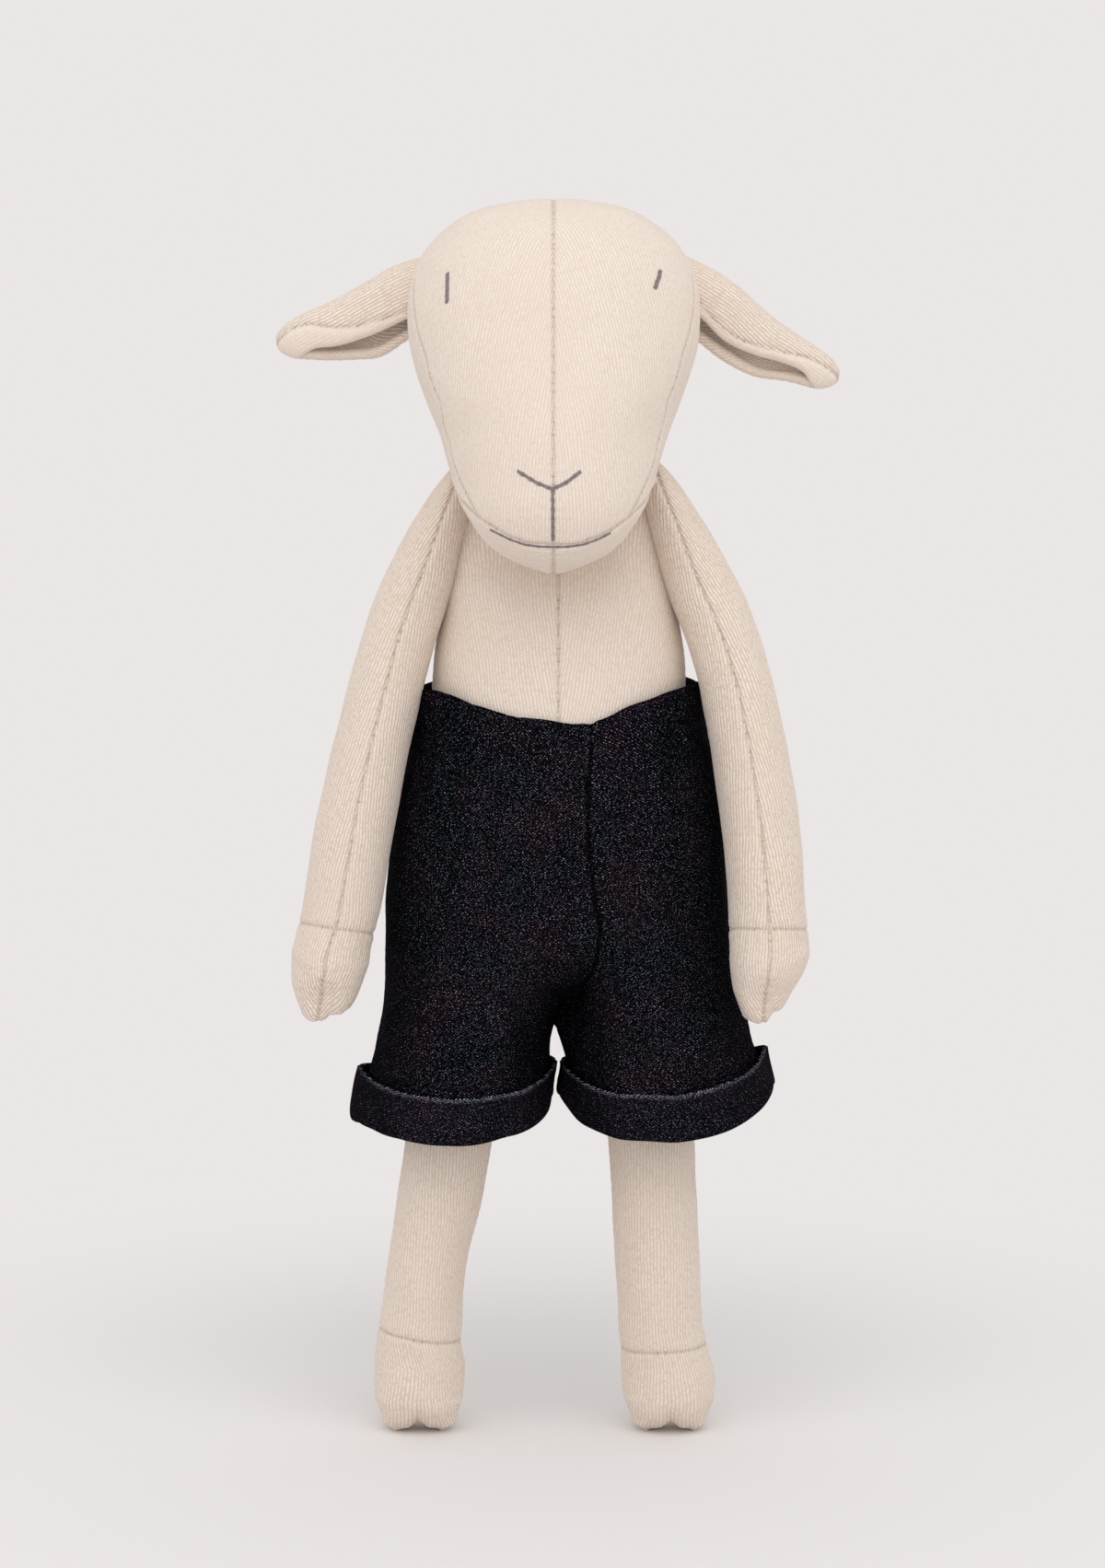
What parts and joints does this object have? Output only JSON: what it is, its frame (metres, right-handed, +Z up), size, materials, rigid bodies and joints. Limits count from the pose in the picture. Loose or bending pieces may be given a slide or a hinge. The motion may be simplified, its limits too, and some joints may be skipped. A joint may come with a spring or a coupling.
{
  "type": "plush sheep",
  "caption": "Standing stuffed velour sheep with folded lop ears, a stitched face, long swinging arms and legs with cloven hooves, and loose denim shorts with turned-up legs.",
  "frame": {"origin": "on the floor under the middle of the whole sheep's box", "axes": "+Z up, -Y the way the sheep faces, +X the sheep's own left"},
  "size_m": [0.1984, 0.116, 0.4565],
  "materials": {
    "velour": "short ribbed nap, matt",
    "denim": "raw black-blue twill, matt",
    "thread": "grey-brown embroidery thread",
    "filling": "white polyester fibre"
  },
  "bodies": {
    "torso": {"chest_left": "velour", "chest_right": "velour", "torso_back": "velour", "torso_filling": "filling", "shorts_front_left": "denim", "turn_up_front_left": "denim", "shorts_back_left": "denim", "turn_up_back_left": "denim", "shorts_front_right": "denim", "turn_up_front_right": "denim", "shorts_back_right": "denim", "turn_up_back_right": "denim"},
    "neck": {"neck": "velour"},
    "head": {"face_left": "velour", "head_side_left": "velour", "chin_left": "velour", "face_right": "velour", "head_side_right": "velour", "chin_right": "velour", "head_filling": "filling", "eye_stitches_left": "thread", "nose_stitches_left": "thread", "eye_stitches_right": "thread", "nose_stitches_right": "thread", "nose_line_stitches": "thread", "mouth_stitches": "thread"},
    "ear_left": {"ear_back_left": "velour", "ear_lining_left": "velour"},
    "ear_right": {"ear_back_right": "velour", "ear_lining_right": "velour"},
    "arm_left": {"arm_outer_left": "velour", "hand_hoof_outer_left": "velour", "arm_inner_left": "velour", "hand_hoof_inner_left": "velour", "arm_filling_left": "filling"},
    "arm_right": {"arm_outer_right": "velour", "hand_hoof_outer_right": "velour", "arm_inner_right": "velour", "hand_hoof_inner_right": "velour", "arm_filling_right": "filling"},
    "leg_left": {"leg_front_left": "velour", "foot_hoof_front_left": "velour", "leg_back_left": "velour", "foot_hoof_back_left": "velour", "leg_filling_left": "filling"},
    "leg_right": {"leg_front_right": "velour", "foot_hoof_front_right": "velour", "leg_back_right": "velour", "foot_hoof_back_right": "velour", "leg_filling_right": "filling"}
  },
  "joints": [
    {"name": "head_turn", "type": "hinge", "parent": "torso", "child": "neck", "pos_m": [0.00223, 0.0121, 0.3596], "axis": [0, 0, 1], "range_deg": [-10, 10]},
    {"name": "head_nod", "type": "hinge", "parent": "neck", "child": "head", "pos_m": [0.00223, 0.0121, 0.3596], "axis": [-1, 0, 0], "range_deg": [-8, 18]},
    {"name": "ear_left_swing", "type": "hinge", "parent": "head", "child": "ear_left", "pos_m": [0.05123, 0.0211, 0.4195], "axis": [0, 0, -1], "range_deg": [-20, 35], "stiffness_Nm_per_rad": 0.006},
    {"name": "ear_right_swing", "type": "hinge", "parent": "head", "child": "ear_right", "pos_m": [-0.04677, 0.0211, 0.4195], "axis": [0, 0, 1], "range_deg": [-20, 35], "stiffness_Nm_per_rad": 0.006},
    {"name": "arm_left_swing", "type": "hinge", "parent": "torso", "child": "arm_left", "pos_m": [0.04483, 0.0121, 0.344], "axis": [-0.9903, -0.1392, 0], "range_deg": [0, 95]},
    {"name": "arm_right_swing", "type": "hinge", "parent": "torso", "child": "arm_right", "pos_m": [-0.04037, 0.0121, 0.344], "axis": [-0.9903, 0.1392, 0], "range_deg": [0, 95]},
    {"name": "leg_left_swing", "type": "hinge", "parent": "torso", "child": "leg_left", "pos_m": [0.03348, 0.0121, 0.1725], "axis": [-1, 0, 0], "range_deg": [-30, 85], "deforming": ["shorts_front_left", "turn_up_front_left", "shorts_back_left", "turn_up_back_left"]},
    {"name": "leg_right_swing", "type": "hinge", "parent": "torso", "child": "leg_right", "pos_m": [-0.02902, 0.0121, 0.1725], "axis": [-1, 0, 0], "range_deg": [-30, 85], "deforming": ["shorts_front_right", "turn_up_front_right", "shorts_back_right", "turn_up_back_right"]}
  ]
}
